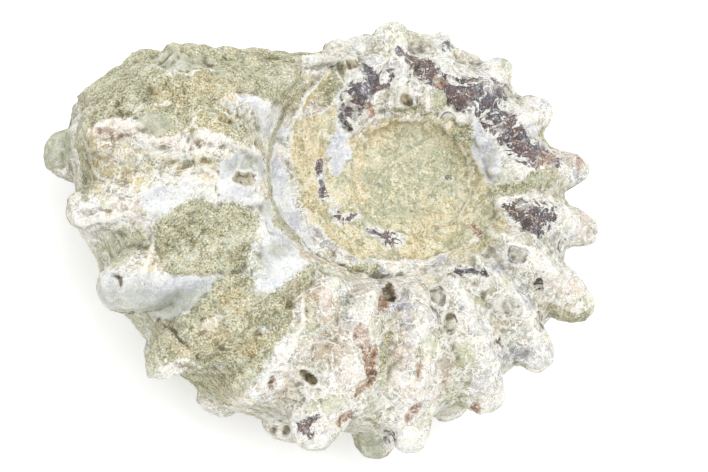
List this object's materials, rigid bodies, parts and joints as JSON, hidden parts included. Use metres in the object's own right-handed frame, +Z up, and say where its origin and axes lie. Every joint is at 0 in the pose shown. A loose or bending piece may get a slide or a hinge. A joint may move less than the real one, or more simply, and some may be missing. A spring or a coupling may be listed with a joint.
{
  "type": "fossil ammonite",
  "caption": "Coiled fossil ammonite with strong ribs and two rows of blunt spines, part stone and part shell, broken at the mouth and lying on its flank.",
  "frame": {"origin": "centre of the bounding box in X and Y, at the surface that the fossil lies on", "axes": "+X along the longest extent, towards the narrow side of the coil; +Y towards the broken mouth; +Z up, through the flank that shows"},
  "size_m": [0.0952, 0.075, 0.0428],
  "materials": {
    "fossil": "weathered cream shell over olive-grey sandstone, matt, with dark lustrous patches"
  },
  "bodies": {
    "root": {"ammonite": "fossil"}
  },
  "joints": []
}
